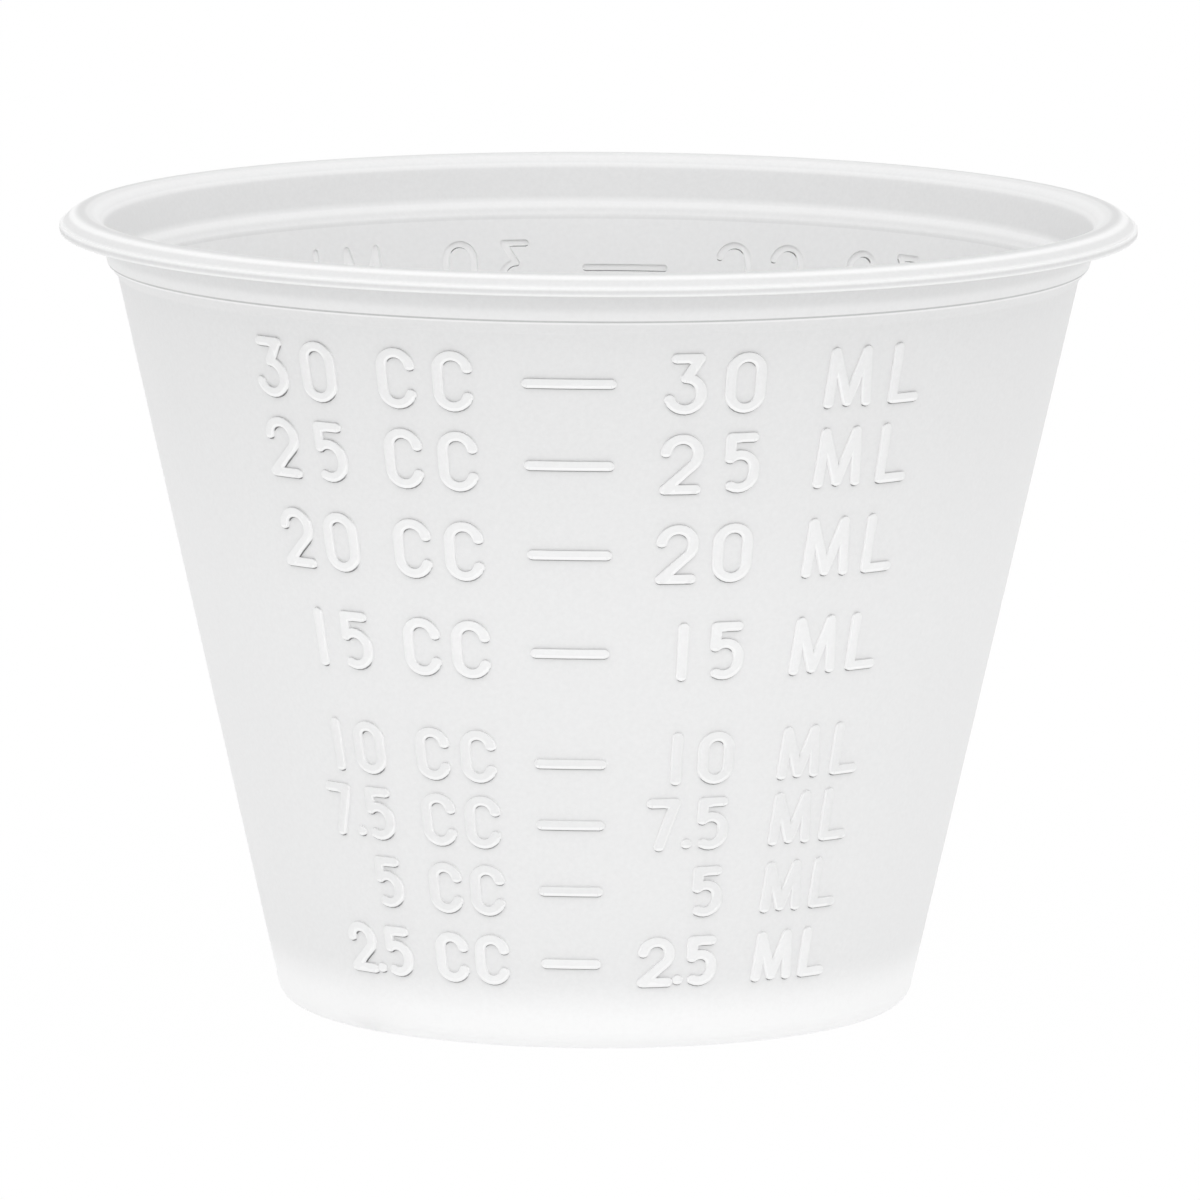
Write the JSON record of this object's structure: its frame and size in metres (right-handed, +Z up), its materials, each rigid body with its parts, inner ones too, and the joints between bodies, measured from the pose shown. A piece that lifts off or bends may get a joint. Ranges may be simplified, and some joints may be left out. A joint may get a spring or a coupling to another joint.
{
  "type": "medicine cup",
  "caption": "Small conical measuring cup for liquid medicine, with a rolled rim, a stacking ledge and raised volume marks.",
  "frame": {"origin": "middle of the flat foot, on the surface that the cup stands on", "axes": "+Z up along the cup's own axis; -Y towards the front scale, which is turned 3.6 degrees round to -X"},
  "size_m": [0.049, 0.049, 0.0362],
  "materials": {
    "frosted_plastic": "frosted, translucent, fine satin grain"
  },
  "bodies": {
    "root": {"cup": "frosted_plastic"}
  },
  "joints": []
}
